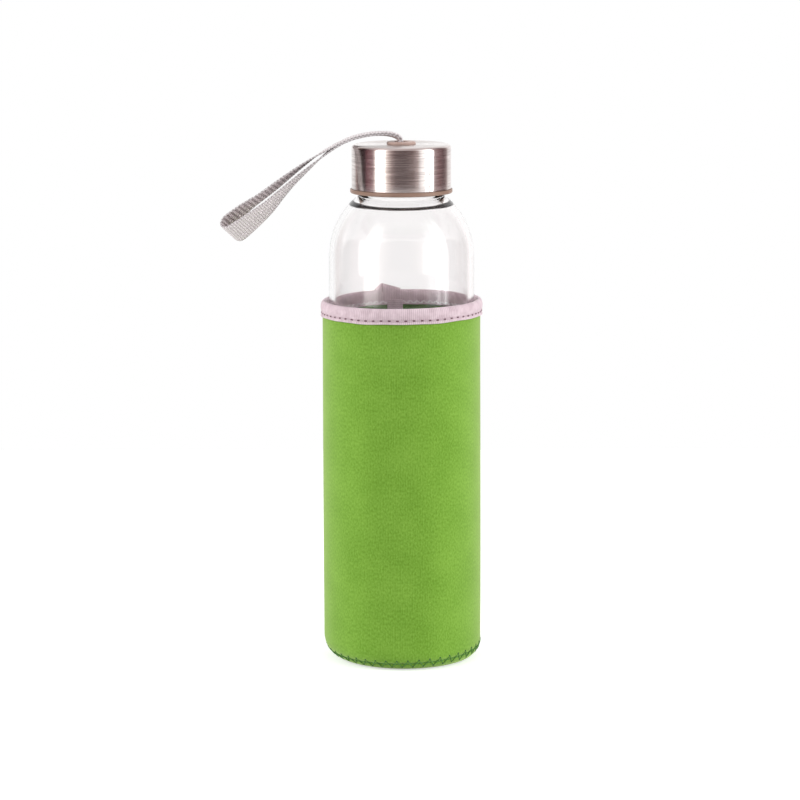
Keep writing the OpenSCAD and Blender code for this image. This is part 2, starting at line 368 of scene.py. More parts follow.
@dataclass(frozen=True)
class RibbedTape(Finish):
    """Grosgrain binding tape: close weft ribs across its length, with a dull sheen on each rib."""

    dark: str = "#C8AFB8"
    light: str = "#EAD6DD"
    rib_mm: float = 0.85
    rib_weight: float = 0.16
    rib_drift: float = 0.5
    slub_mm: float = 3.0

    def shader(self, tree: bpy.types.NodeTree) -> bpy.types.Node:
        """Build ribs on the tape's own map, in millimetres along and across the tape.

        Args:
            tree: Node tree of the material.

        Returns:
            The surface shader.
        """
        tape = add_node(tree, "UVMap", {"uv_map": CLOTH_MAP}).outputs[0]
        along = add_node(tree, "SeparateXYZ", {0: tape}).outputs["X"]
        slub = add_node(tree, "TexNoise", {"Vector": tape, "Scale": 1 / self.slub_mm, "Detail": 4.0})
        drift = add_node(tree, "Math", {
            "operation": "MULTIPLY_ADD", 0: slub.outputs["Fac"], 1: self.rib_drift * self.rib_mm, 2: along,
        })
        phase = add_node(tree, "Math", {"operation": "MULTIPLY", 0: drift.outputs[0], 1: TURN / self.rib_mm})
        rib = add_node(tree, "Math", {"operation": "SINE", 0: phase.outputs[0]})
        height = add_node(tree, "Math", {
            "operation": "MULTIPLY_ADD", 0: rib.outputs[0], 1: self.rib_weight, 2: slub.outputs["Fac"],
        })
        share = add_node(tree, "MapRange", {"Value": height.outputs[0], "From Min": 0.2, "From Max": 0.75})
        colour = add_node(tree, "Mix", {
            "data_type": "RGBA", 0: share.outputs[0], 6: linear(self.dark), 7: linear(self.light),
        })
        bump = add_node(tree, "Bump", {"Height": height.outputs[0], "Strength": 0.5, "Distance": 0.15 * MM})
        return add_node(tree, "BsdfPrincipled", {
            "Base Color": colour.outputs[2], "Roughness": 0.8, "Specular IOR Level": 0.25,
            "Sheen Weight": 0.25, "Sheen Roughness": 0.4, "Normal": bump.outputs[0],
        })


class WebbingFace(Enum):
    """Faces of the strap's webbing, each with the spacing of its ribs in millimetres and their depth."""

    # The weft ribs are 0.7 mm apart, which is near a pixel, so they are drawn 1.15 mm apart.
    OUTER = (1.15, 0.3)
    INNER = (2.1, 0.42)
    EDGE = (1.6, 0.2)


@dataclass(frozen=True)
class WovenWebbing(Finish):
    """Polyester webbing: ribs of weft across it, held by fine warp lines along it."""

    face: WebbingFace = WebbingFace.OUTER
    dark: str = "#CCC0C2"
    light: str = "#FFF7F8"
    warp_mm: float = 0.95
    warp_weight: float = 0.05

    def shader(self, tree: bpy.types.NodeTree) -> bpy.types.Node:
        """Build the weave on the strap's own map, in millimetres along and across it.

        Args:
            tree: Node tree of the material.

        Returns:
            The surface shader.
        """
        strap = add_node(tree, "UVMap", {"uv_map": CLOTH_MAP}).outputs[0]
        place = add_node(tree, "SeparateXYZ", {0: strap})
        fuzz = add_node(tree, "TexNoise", {"Vector": strap, "Scale": 1 / self.warp_mm, "Detail": 2.0})
        pitch, depth = self.face.value
        weft_phase = add_node(tree, "Math", {
            "operation": "MULTIPLY", 0: place.outputs["X"], 1: TURN / pitch,
        })
        warp_phase = add_node(tree, "Math", {
            "operation": "MULTIPLY", 0: place.outputs["Y"], 1: TURN / self.warp_mm,
        })
        weft = add_node(tree, "Math", {"operation": "COSINE", 0: weft_phase.outputs[0]})
        warp = add_node(tree, "Math", {"operation": "SINE", 0: warp_phase.outputs[0]})
        soft = add_node(tree, "MapRange", {"Value": fuzz.outputs["Fac"], "To Min": 0.3, "To Max": 0.7})
        weave = add_node(tree, "Math", {
            "operation": "MULTIPLY_ADD", 0: warp.outputs[0], 1: self.warp_weight, 2: soft.outputs[0],
        })
        height = add_node(tree, "Math", {
            "operation": "MULTIPLY_ADD", 0: weft.outputs[0], 1: depth, 2: weave.outputs[0],
        })
        share = add_node(tree, "MapRange", {"Value": height.outputs[0], "From Min": 0.05, "From Max": 0.95})
        colour = add_node(tree, "Mix", {
            "data_type": "RGBA", 0: share.outputs[0], 6: linear(self.dark), 7: linear(self.light),
        })
        bump = add_node(tree, "Bump", {"Height": height.outputs[0], "Strength": 0.5, "Distance": 0.15 * MM})
        return add_node(tree, "BsdfPrincipled", {
            "Base Color": colour.outputs[2], "Roughness": 0.7, "Specular IOR Level": 0.3,
            "Sheen Weight": 0.2, "Sheen Roughness": 0.4, "Normal": bump.outputs[0],
        })


@dataclass(frozen=True)
class SewingThread(Finish):
    """Twisted polyester thread: a dull lustre broken up by its plies."""

    dark: str
    light: str
    ply_mm: float = 0.45

    def shader(self, tree: bpy.types.NodeTree) -> bpy.types.Node:
        """Build a thread whose colour changes with its twist.

        Args:
            tree: Node tree of the material.

        Returns:
            The surface shader.
        """
        place = add_node(tree, "TexCoord").outputs["Object"]
        plies = add_node(tree, "TexNoise", {"Vector": place, "Scale": 1 / (self.ply_mm * MM), "Detail": 1.0})
        colour = add_node(tree, "Mix", {
            "data_type": "RGBA", 0: plies.outputs["Fac"], 6: linear(self.dark), 7: linear(self.light),
        })
        bump = add_node(tree, "Bump", {"Height": plies.outputs["Fac"], "Strength": 0.4, "Distance": 0.1 * MM})
        return add_node(tree, "BsdfPrincipled", {
            "Base Color": colour.outputs[2], "Roughness": 0.6, "Normal": bump.outputs[0],
        })


@dataclass(frozen=True)
class PaintedBoard(Finish):
    """White painted board: it looks lit to the camera and to polished things, and keeps its shadows."""

    colour: str = "#E6E6E6"
    glow: float = 0.55

    def shader(self, tree: bpy.types.NodeTree) -> bpy.types.Node:
        """Build a matt white with a glow that lights nothing matt.

        Args:
            tree: Node tree of the material.

        Returns:
            The surface shader.
        """
        ray = add_node(tree, "LightPath")
        shown = add_node(tree, "Math", {
            "operation": "MAXIMUM", 0: ray.outputs["Is Camera Ray"], 1: from_polished(tree, ray),
        })
        white = add_node(tree, "Math", {"operation": "MULTIPLY", 0: shown.outputs[0], 1: self.glow})
        glow = add_node(tree, "Emission", {"Color": grey(1.0), "Strength": white.outputs[0]})
        matt = add_node(tree, "BsdfDiffuse", {"Color": linear(self.colour)})
        return add_node(tree, "AddShader", {0: glow.outputs[0], 1: matt.outputs[0]})


GLASS = MouldedGlass("moulded_soda_glass")
STEEL = BrushedSteel("brushed_stainless_steel")
LINER_PLASTIC = MouldedPlastic("moulded_tan_polypropylene")
PLUG_PLASTIC = MouldedPlastic("moulded_tan_bush", dark="#B8998F", light="#D6BBB0")
SILICONE = MouldedPlastic("moulded_silicone", dark="#D6D6D0", light="#E6E6E1", roughness=0.55)
NEOPRENE = JerseyNeoprene("jersey_faced_neoprene")
# The same jersey made darker for the sleeve's inner faces: painted shade for the inside of the sleeve.
NEOPRENE_INSIDE_SHADE = JerseyNeoprene("jersey_faced_neoprene_inside_painted_shade", dark="#48743E", light="#649050")
TAPE = RibbedTape("grosgrain_binding_tape")
WEBBING = WovenWebbing("woven_polyester_webbing")
WEBBING_INSIDE = WovenWebbing("woven_polyester_webbing_inside", WebbingFace.INNER, "#A89C9D", "#F4EAEB")
WEBBING_EDGE = WovenWebbing("woven_polyester_webbing_edge", WebbingFace.EDGE, "#968A8C", "#FFFAFB")
GREEN_THREAD = SewingThread("twisted_green_thread", dark="#42722E", light="#60943A")
GREY_THREAD = SewingThread("twisted_grey_thread", dark="#BFA8B0", light="#E2D2D8")
PALE_THREAD = SewingThread("twisted_pale_thread", dark="#E6DCE0", light="#FFFAFC")
HOLE_SHADE = SewingThread("needle_hole_shade", dark="#5A3A44", light="#7C5864")
GREEN_HOLE_SHADE = SewingThread("green_needle_hole_shade", dark="#1C4020", light="#2A552E")

FLOOR_BOARD = PaintedBoard("white_studio_floor")


def arc(centre: Point, radius: float, start: float, end: float, steps: int) -> list[Point]:
    """List the points of an arc.

    Args:
        centre: Middle of the arc.
        radius: Radius of the arc.
        start: First angle in degrees.
        end: Last angle in degrees.
        steps: Number of stretches.

    Returns:
        Points from the first angle to the last.
    """
    angles = [math.radians(start + (end - start) * i / steps) for i in range(steps + 1)]
    return [(centre[0] + radius * math.cos(a), centre[1] + radius * math.sin(a)) for a in angles]


def spread(start: float, end: float, count: int) -> list[float]:
    """List evenly spaced values from start to end, both included."""
    return [start + (end - start) * i / (count - 1) for i in range(count)]


def ease(value: float) -> float:
    """Give a smooth step from 0 to 1 for a value from 0 to 1."""
    value = min(1.0, max(0.0, value))
    return value * value * (3 - 2 * value)


def smooth_line(rows: Sequence[Sequence[float]], steps: int) -> list[tuple[float, ...]]:
    """Draw a smooth curve through rows of numbers.

    Args:
        rows: Points, with any number of columns.
        steps: Number of stretches between two rows.

    Returns:
        Rows on a Catmull-Rom curve.
    """
    last = len(rows) - 1
    line = []
    for k in range(last * steps + 1):
        i = min(k // steps, last - 1)
        t = k / steps - i
        near = [rows[max(0, min(last, i + j))] for j in (-1, 0, 1, 2)]
        line.append(tuple(
            (2 * b + (c - a) * t + (2 * a - 5 * b + 4 * c - d) * t ** 2
             + (3 * b - a - 3 * c + d) * t ** 3) / 2
            for a, b, c, d in zip(*near)
        ))
    return line


def revolve(
    outline: Sequence[Point], steps: int, closed: bool = False, turn: float = TURN,
) -> bmesh.types.BMesh:
    """Spin an outline round the bottle's axis.

    Args:
        outline: Radii and heights.
        steps: Number of faces round the axis.
        closed: Whether the last point joins the first.
        turn: Angle of the spin in radians.

    Returns:
        A mesh with its doubles merged and its faces turned outwards.
    """
    mesh = bmesh.new()
    verts = [mesh.verts.new((r, 0.0, z)) for r, z in outline]
    pairs = list(zip(verts, verts[1:]))
    if closed:
        pairs.append((verts[-1], verts[0]))
    edges = [mesh.edges.new(pair) for pair in pairs]
    bmesh.ops.spin(
        mesh, geom=verts + edges, axis=(0, 0, 1), cent=(0, 0, 0), angle=turn, steps=steps,
        use_merge=turn == TURN,
    )
    bmesh.ops.remove_doubles(mesh, verts=mesh.verts, dist=MERGE)
    bmesh.ops.recalc_face_normals(mesh, faces=mesh.faces)
    return mesh


def wrap_map(mesh: bmesh.types.BMesh, radius: float, seam: float, height: Callable[[Vector], float]) -> None:
    """Give a tube a cloth map in millimetres.

    Args:
        mesh: Tube round the bottle's axis.
        radius: Radius at which the map's first number is true.
        seam: Direction of the map's edge in radians.
        height: Second number of the map at a point.
    """
    layer = mesh.loops.layers.uv.new(CLOTH_MAP)
    for face in mesh.faces:
        turns = [((math.atan2(c.vert.co.y, c.vert.co.x) - seam) / TURN) % 1.0 for c in face.loops]
        crosses = max(turns) - min(turns) > 0.5
        for corner, turn in zip(face.loops, turns):
            whole = turn + 1 if crosses and turn < 0.5 else turn
            corner[layer].uv = (whole * TURN * radius, height(corner.vert.co))


def thread_along(points: Sequence[Vector], radius: float, closed: bool = False) -> bmesh.types.BMesh:
    """Sweep a round thread along points.

    Args:
        points: Middle line of the thread.
        radius: Radius of the thread.
        closed: Whether the thread joins its own start.

    Returns:
        A mesh of the thread.
    """
    curve = bpy.data.curves.new("thread_line", "CURVE")
    curve.dimensions = "3D"
    curve.bevel_depth = radius
    curve.bevel_resolution = 1
    curve.use_fill_caps = True
    spline = curve.splines.new("POLY")
    spline.points.add(len(points) - 1)
    for knot, place in zip(spline.points, points):
        knot.co = (*place, 1.0)
    spline.use_cyclic_u = closed
    holder = bpy.data.objects.new("thread_line", curve)
    swept = bpy.data.meshes.new_from_object(holder)
    mesh = bmesh.new()
    mesh.from_mesh(swept)
    bpy.data.objects.remove(holder)
    bpy.data.curves.remove(curve)
    bpy.data.meshes.remove(swept)
    return mesh


def dots(places: Sequence[Vector], radius: float) -> bmesh.types.BMesh:
    """Make small round beads at points.

    Args:
        places: Middle of each bead.
        radius: Radius of a bead.

    Returns:
        A mesh of all the beads.
    """
    mesh = bmesh.new()
    for place in places:
        bmesh.ops.create_icosphere(mesh, subdivisions=1, radius=radius, matrix=Matrix.Translation(place))
    return mesh


def make_object(mesh: bmesh.types.BMesh, name: str, *finishes: Finish) -> bpy.types.Object:
    """Turn a mesh in millimetres into a smooth object in metres at the origin.

    Args:
        mesh: Mesh of the piece, which is used up.
        name: Name of the piece.
        finishes: Finishes of its material slots.

    Returns:
        The object, linked to the scene.
    """
    bmesh.ops.scale(mesh, vec=(MM, MM, MM), verts=mesh.verts)
    data = bpy.data.meshes.new(name)
    mesh.to_mesh(data)
    mesh.free()
    data.shade_smooth()
    data.set_sharp_from_angle(angle=SHARP_ANGLE)
    for finish in finishes:
        data.materials.append(finish.material())
    piece = bpy.data.objects.new(name, data)
    bpy.context.scene.collection.objects.link(piece)
    LOG.info("%s: %d faces", name, len(data.polygons))
    return piece


def settle(piece: bpy.types.Object, body: str, slot: str, *nodes: str) -> bpy.types.Object:
    """Put a piece on a CAD body.

    Args:
        piece: Object in place.
        body: Body that it rides on.
        slot: Not used.
        nodes: CAD nodes that it stands for.

    Returns:
        The same object.
    """
    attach(piece, body)
    if nodes:
        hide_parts(*nodes)
    return piece


def thicken(piece: bpy.types.Object, thickness: float, offset: float = -1.0) -> bpy.types.SolidifyModifier:
    """Give a sheet its thickness.

    Args:
        piece: Sheet whose faces point outwards.
        thickness: Thickness in millimetres.
        offset: -1 to grow inwards, and 0 to grow both ways.

    Returns:
        The modifier.
    """
    wall = piece.modifiers.new("thickness", "SOLIDIFY")
    wall.thickness = thickness * MM
    wall.offset = offset
    return wall


def cloth_grid(columns: int, rows: int) -> bmesh.types.BMesh:
    """Make a flat grid from -1 to 1 with an empty cloth map.

    Args:
        columns: Number of faces along X.
        rows: Number of faces along Y.

    Returns:
        A mesh of one layer.
    """
    mesh = bmesh.new()
    mesh.loops.layers.uv.new(CLOTH_MAP)
    bmesh.ops.create_grid(mesh, x_segments=columns, y_segments=rows, size=1.0)
    return mesh


def lay_map(mesh: bmesh.types.BMesh, places: dict[bmesh.types.BMVert, Point]) -> None:
    """Fill a mesh's cloth map.

    Args:
        mesh: Mesh with a cloth map.
        places: Place of each vertex on the flat cloth, in millimetres.
    """
    layer = mesh.loops.layers.uv[CLOTH_MAP]
    for face in mesh.faces:
        for corner in face.loops:
            corner[layer].uv = places[corner.vert]


@dataclass(frozen=True)
class ScrewThread:
    """A round-topped screw thread that fades out at both ends."""

    start_z: float
    width: float
    depth: float
    lead: float = 4.5
    turns: float = 1.25
    fade: float = 0.08
    touch: float = 0.01

    def height(self, angle: float, z: float) -> float:
        """Give the thread's rise over its ground.

        Args:
            angle: Direction in radians.
            z: Height in millimetres.

        Returns:
            Rise in millimetres, 0 between the turns.
        """
        rise = 0.0
        for lap in range(math.ceil(self.turns) + 1):
            run = (angle / TURN) % 1.0 + lap
            if run <= self.turns:
                off = abs(z - self.start_z - self.lead * run) / (self.width / 2)
                share = ease(run / self.fade) * ease((self.turns - run) / self.fade)
                rise += self.depth * share * math.cos(min(1.0, off) * math.pi / 2) ** 2
        return rise

    def raise_on(self, mesh: bmesh.types.BMesh, radius: float, outward: float) -> None:
        """Move the vertices of a round wall to form the thread.

        Args:
            mesh: Mesh with the wall.
            radius: Radius of the wall.
            outward: 1 for a thread outside the wall, -1 for one inside it.
        """
        top = self.start_z + self.lead * self.turns + self.width
        for vert in mesh.verts:
            here = math.hypot(vert.co.x, vert.co.y)
            if abs(here - radius) < self.touch and self.start_z - self.width < vert.co.z < top:
                rise = outward * self.height(math.atan2(vert.co.y, vert.co.x), vert.co.z)
                vert.co.xy *= (radius + rise) / radius


@dataclass
class GlassBottle:
    """Moulded glass bottle: hollow foot, straight body, round shoulder and threaded neck."""

    size: Extent = extent_of("glass_bottle")
    wall: float = 2.3
    floor_t: float = 5.0
    body_h: float = 167.5
    heel_r: float = 7.0
    push_up_r: float = 21.0
    push_up_h: float = 2.0
    shoulder_r: float = 32.5
    neck_r: float = 17.5
    neck_fillet_r: float = 3.0
    root_r: float = 1.2
    bulge: float = 1.1
    bulge_start: float = 42.0
    bulge_step: float = 4.5
    lip_r: float = 0.75
    neck_row: float = 0.22
    thread_drop: float = 7.2
    thread_w: float = 2.0
    thread_h: float = 0.75
    round_steps: int = 192

    def outline(self) -> list[Point]:
        """List the outline of the glass, up its outside and down its inside.

        Returns:
            Radii and heights.
        """
        size, wall = self.size, self.wall
        shoulder = (size.radius - self.shoulder_r, size.bottom + self.body_h)
        reach = self.shoulder_r + self.neck_fillet_r
        fillet_r = self.neck_r + self.neck_fillet_r
        climb = math.degrees(math.acos((fillet_r - shoulder[0]) / reach))
        fillet = (fillet_r, shoulder[1] + reach * math.sin(math.radians(climb)))
        hollow_r = (self.push_up_r ** 2 + self.push_up_h ** 2) / (2 * self.push_up_h)
        hollow = (0.0, size.bottom + self.push_up_h - hollow_r)
        hollow_end = math.degrees(math.acos(self.push_up_r / hollow_r))
        heel = (size.radius - self.heel_r, size.bottom + self.heel_r)
        lip_z = size.top - self.lip_r
        neck_rows = int((lip_z - fillet[1]) / self.neck_row)
        bore_r = self.neck_r - wall
        floor = (heel[0] - wall, size.bottom + self.floor_t + self.heel_r)
        outside = arc(hollow, hollow_r, 90, hollow_end, 6) + arc(heel, self.heel_r, -90, 0, 10)
        outside += [(size.radius, z) for z in spread(heel[1], shoulder[1], 8)[1:-1]]
        outside += arc(shoulder, self.shoulder_r, 0, climb, 28)
        outside += arc(fillet, self.neck_fillet_r, 180 + climb, 180, 10)[1:]
        outside += [(self.neck_r, z) for z in spread(fillet[1], lip_z, neck_rows)[1:-1]]
        outside += arc((self.neck_r - self.lip_r, lip_z), self.lip_r, 0, 90, 5)
        root_c = bore_r + self.root_r - shoulder[0]
        root_reach = self.shoulder_r - wall - self.bulge + self.root_r
        root_climb = math.degrees(math.acos(root_c / root_reach))
        root = (bore_r + self.root_r, shoulder[1] + root_reach * math.sin(math.radians(root_climb)))
        inside = arc((bore_r + self.lip_r, lip_z), self.lip_r, 90, 180, 5)
        inside += arc(root, self.root_r, 180, 180 + root_climb, 8)
        for angle in spread(root_climb, 0, 90)[1:]:
            reach = self.shoulder_r - wall - self.bulge * ease((angle - self.bulge_start) / self.bulge_step)
            inside += arc(shoulder, reach, angle, angle, 1)[1:]
        inside += [(size.radius - wall, z) for z in spread(shoulder[1], floor[1], 8)[1:-1]]
        inside += arc(floor, self.heel_r, 0, -90, 10) + [(0.0, size.bottom + self.floor_t)]
        return outside + inside

    def build(self) -> None:
        """Spin the glass and raise the thread on its neck."""
        mesh = revolve(self.outline(), self.round_steps)
        thread = ScrewThread(self.size.top - self.thread_drop, self.thread_w, self.thread_h)
        thread.raise_on(mesh, self.neck_r, 1.0)
        settle(make_object(mesh, "bottle_glass", GLASS), "bottle", "glass", "glass_bottle")


@dataclass
class ScrewCap:
    """Steel shell over a plastic screw liner, with a loose seal and the bush for the strap."""

    shell: Extent = extent_of("cap_shell")
    liner: Extent = extent_of("cap_liner")
    seal: Extent = extent_of("cap_seal")
    plug: Extent = extent_of("strap_plug")
    sheet_t: float = 0.5
    edge_r: float = 1.5
    hole_r: float = 4.6
    skirt_r: float = 20.1
    bore_r: float = 18.9
    rim_round: float = 0.55
    rim_break: float = 0.3
    disc_t: float = 1.6
    disc_nook: float = 0.4
    thread_rise: float = 2.0
    thread_w: float = 1.8
    thread_h: float = 0.42
    seal_bore_r: float = 14.4
    seal_round: float = 0.3
    plug_h: float = 1.1
    plug_stem_r: float = 4.3
    plug_catch_r: float = 5.6
    plug_catch_h: float = 1.0
    plug_bore_r: float = 2.8
    plug_crown: float = 0.5
    plug_mouth: float = 0.45
    plug_break: float = 0.15
    round_steps: int = 192
    small_steps: int = 96

    def build_shell(self) -> None:
        """Spin the drawn steel sheet, with a rolled lower edge and a rounded hole."""
        r, top, t = self.shell.radius, self.shell.top, self.sheet_t
        hem = (r - t / 2, self.shell.bottom + t / 2)
        edge = (r - self.edge_r, top - self.edge_r)
        rim = (self.hole_r + t / 2, top - t / 2)
        outline = [(r, z) for z in spread(hem[1], edge[1], 6)]
        outline += arc(edge, self.edge_r, 0, 90, 8)[1:]
        outline += [(x, top) for x in spread(edge[0], rim[0], 8)[1:-1]]
        outline += arc(rim, t / 2, 90, 270, 6)
        outline += arc(edge, self.edge_r - t, 90, 0, 6)
        outline += arc(hem, t / 2, 180, 360, 6)[:-1]
        mesh = revolve(outline, self.round_steps, closed=True)
        settle(make_object(mesh, "steel_shell", STEEL), "cap", "brushed_steel", "cap_shell")

    def build_liner(self) -> None:
        """Spin the screw liner, with its rim under the shell and the thread in its bore."""
        foot, shelf = self.liner.bottom, self.shell.bottom
        disc_top = self.seal.top + self.disc_t
        corner, edge, nook = self.rim_round, self.rim_break, self.disc_nook
        outline = arc((self.liner.radius - corner, foot + corner), corner, -90, 0, 5)
        outline += arc((self.liner.radius - edge, shelf - edge), edge, 0, 90, 4)
        outline += [(self.skirt_r, shelf), (self.skirt_r, self.liner.top)]
        outline += [(self.bore_r, self.liner.top), (self.bore_r, disc_top), (0.0, disc_top)]
        outline += [(0.0, self.seal.top), (self.bore_r - nook, self.seal.top)]
        outline += [(self.bore_r, z) for z in spread(self.seal.top - nook, foot + edge, 48)]
        outline += arc((self.bore_r + edge, foot + edge), edge, 180, 270, 3)[1:]
        mesh = revolve(outline, self.round_steps, closed=True)
        thread = ScrewThread(foot + self.thread_rise, self.thread_w, self.thread_h)
        thread.raise_on(mesh, self.bore_r, -1.0)
        settle(make_object(mesh, "screw_liner", LINER_PLASTIC), "cap", "liner_plastic", "cap_liner")

    def build_seal(self) -> None:
        """Spin the washer that lies between the liner's disc and the lip."""
        round_r = self.seal_round
        low, high = self.seal.bottom + round_r, self.seal.top - round_r
        inner, outer = self.seal_bore_r + round_r, self.seal.radius - round_r
        outline = []
        for i, centre in enumerate(((outer, low), (outer, high), (inner, high), (inner, low))):
            outline += arc(centre, round_r, 90 * i - 90, 90 * i, 4)
        mesh = revolve(outline, self.small_steps, closed=True)
        settle(make_object(mesh, "seal_ring", SILICONE), "seal", "seal_silicone", "cap_seal")

    def build_plug(self) -> None:
        """Spin the bush: a flange on the shell, a stem through its hole and a catch below."""
        low, top = self.plug.bottom, self.plug.top
        flange_z = top - self.plug_h
        crown, mouth, foot = self.plug_crown, self.plug_mouth, self.plug_break
        outline = arc((self.plug_catch_r - foot, low + foot), foot, -90, 0, 3)
        catch_z = low + self.plug_catch_h
        outline += arc((self.plug_catch_r - foot, catch_z - foot), foot, 0, 90, 3)
        outline += [(self.plug_stem_r, catch_z), (self.plug_stem_r, flange_z)]
        outline += arc((self.plug.radius - foot, flange_z + foot), foot, -90, 0, 3)
        outline += arc((self.plug.radius - crown, top - crown), crown, 0, 90, 5)
        outline += arc((self.plug_bore_r + mouth, top - mouth), mouth, 90, 180, 5)
        outline += [(self.plug_bore_r, low)]
        mesh = revolve(outline, self.small_steps, closed=True)
        settle(make_object(mesh, "strap_bush", PLUG_PLASTIC), "plug", "plug_plastic", "strap_plug")

    def build(self) -> None:
        """Make the four pieces of the cap."""
        self.build_shell()
        self.build_liner()
        self.build_seal()
        self.build_plug()


@dataclass(frozen=True)
class StrapStation:
    """One cross-section of the webbing."""

    place: Vector
    across: Vector
    outward: Vector
    half_width: float
    pleat: Vector
    run: float


@dataclass(frozen=True)
class StrapCore:
    """One place on the line between the webbing's two legs."""

    middle: Vector
    heading: Vector
    across: Vector
    half_width: float
    gap: float
    slack: float
    splay: float

    @property
    def facing(self) -> Vector:
        """Give the direction from the line to the lower leg."""
        return self.heading.cross(self.across)


@dataclass
class WristStrap:
    """Webbing folded double into a wrist loop, gathered through the bush and knotted under it."""

    plug: Extent = extent_of("strap_plug")
    knot_size: Extent = extent_of("strap_knot")
    width: float = 10.0
    gathered: float = 4.8
    thickness: float = 0.6
    legs_apart: float = 0.64
    splay: float = math.radians(9)
    splay_from: float = 2.5
    splay_over: float = 4.0
    pleat: float = 0.5
    rib_mm: float = WebbingFace.OUTER.value[0]
    rib_h: float = 0.06
    knot_loop: float = 1.13
    knot_rise: float = 0.85
    knot_cord_r: float = 0.8
    knot_steps: int = 120
    # Places along X and Y, height over the bush, share of full width, twist in degrees and added gap
    # of the legs: up through the bush, then along the route of the solid strap to the bend.
    route: tuple[tuple[float, ...], ...] = (
        (-0.4, 0, -4.6, 0, 0, 0),
        (-0.4, 0, -2, 0, 0, 0),
        (-0.4, 0, 0.2, 0, 0, 0),
        (-1.3, 0, 1.7, 0, 0, 0),
        (-4, 0, 2.8, 0.2, 0, 0),
        (-8, 0, 3.2, 0.5, 0, 0),
        (-14, 0, 2.8, 0.8, 0, 0),
        (-20, 0, 1.5, 1, 0, 0),
        (-25, 0, -0.6, 1, 0, 0),
        (-30, 0, -3.5, 1, 0, 0.4),
        (-35, 0, -6.9, 1, 4, 1.25),
        (-40.5, 0, -11.1, 1, 10, 2),
        (-46, 0, -15.6, 1, 15, 2.7),
        (-51.5, 0, -20.4, 1, 21, 3.7),
        (-57, 0, -25.2, 1, 28, 5.2),
        (-63, 0.3, -29.8, 1, 37, 6.6),
        (-69.2, 0.8, -34.9, 1, 50, 7.4),
    )
    line_steps: int = 24
    bend_steps: int = 48
    sides: int = 12

    def cores(self) -> list[StrapCore]:
        """Follow the route between the webbing's two legs.

        Returns:
            Places from the knot to the bend.
        """
        rows = smooth_line(self.route, self.line_steps)
        middles = [Vector((x, y, self.plug.top + rise)) for x, y, rise, *_ in rows]
        level = Vector((0, 1, 0))
        cores = []
        for i, (row, middle) in enumerate(zip(rows, middles)):
            share, degrees, added_gap = row[3:]
            heading = (middles[min(i + 1, len(rows) - 1)] - middles[max(i - 1, 0)]).normalized()
            flat = (level - heading * heading.dot(level)).normalized()
            twist = math.radians(degrees)
            cores.append(StrapCore(
                middle=middle,
                heading=heading,
                across=flat * math.cos(twist) + heading.cross(flat) * math.sin(twist),
                half_width=(self.gathered + (self.width - self.gathered) * share) / 2,
                gap=(self.legs_apart + added_gap) / 2,
                slack=1 - share,
                splay=self.splay * ease((added_gap - self.splay_from) / self.splay_over),
            ))
        return cores

    def station(self, core: StrapCore, turn: float, before: StrapStation | None) -> StrapStation:
        """Cut across the webbing beside a place on its route.

        Args:
            core: Place on the route.
            turn: Side of the route, from the lower leg at 0 to the upper one at half a turn.
            before: Cross-section before this one, if there is one.

        Returns:
            The cross-section.
        """
        outward = core.facing * math.cos(turn) + core.heading * math.sin(turn)
        place = core.middle + outward * core.gap
        lean = core.splay * math.cos(turn)
        across = core.across * math.cos(lean) + core.facing * math.sin(lean)
        pleat = core.facing * self.pleat * core.slack
        run = 0.0 if before is None else before.run + (place - before.place).length
        return StrapStation(place, across, outward, core.half_width, pleat, run)

    def sections(self) -> list[StrapStation]:
        """List the webbing's cross-sections.

        Returns:
            Cross-sections from one end, round the bend, to the other end.
        """
        cores = self.cores()
        cuts = [(core, 0.0) for core in cores]
        cuts += [(cores[-1], math.pi * k / self.bend_steps) for k in range(1, self.bend_steps)]
        cuts += [(core, math.pi) for core in reversed(cores)]
        sections: list[StrapStation] = []
        for core, turn in cuts:
            sections.append(self.station(core, turn, sections[-1] if sections else None))
        return sections

    def length(self) -> float:
        """Give the webbing's length in millimetres."""
        return self.sections()[-1].run

    def even_sections(self, step: float) -> list[StrapStation]:
        """Space the cross-sections evenly along the webbing.

        Args:
            step: Distance between two of them.

        Returns:
            Cross-sections at that distance.
        """
        sections = self.sections()
        count = round(sections[-1].run / step)
        even, i = [], 0
        for k in range(count + 1):
            run = sections[-1].run * k / count
            while i < len(sections) - 2 and sections[i + 1].run < run:
                i += 1
            a, b = sections[i], sections[i + 1]
            t = (run - a.run) / max(1e-9, b.run - a.run)
            even.append(StrapStation(
                a.place.lerp(b.place, t), a.across.lerp(b.across, t).normalized(),
                a.outward.lerp(b.outward, t).normalized(), a.half_width + (b.half_width - a.half_width) * t,
                a.pleat.lerp(b.pleat, t), run,
            ))
        return even

    def build_webbing(self) -> None:
        """Lay a grid along the webbing, rib it and give it its thickness."""
        stations = self.even_sections(self.rib_mm / 4)
        last = len(stations) - 1
        mesh = cloth_grid(last, self.sides)
        flat = {}
        for vert in mesh.verts:
            station = stations[round((vert.co.x + 1) / 2 * last)]
            side = vert.co.y
            flat[vert] = (station.run, side * self.width / 2)
            rib = station.outward * self.rib_h * math.cos(TURN * station.run / self.rib_mm)
            fold = station.pleat * math.cos(math.pi * side)
            vert.co = station.place + station.across * side * station.half_width + rib + fold
        lay_map(mesh, flat)
        mesh.normal_update()
        mesh.faces.ensure_lookup_table()
        if mesh.faces[0].normal.dot(stations[0].outward) < 0:
            bmesh.ops.reverse_faces(mesh, faces=mesh.faces)
        piece = make_object(mesh, "strap_webbing", WEBBING, WEBBING_INSIDE, WEBBING_EDGE)
        wall = thicken(piece, self.thickness, 0.0)
        wall.material_offset = 1
        wall.material_offset_rim = 2
        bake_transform(piece)
        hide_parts("strap")

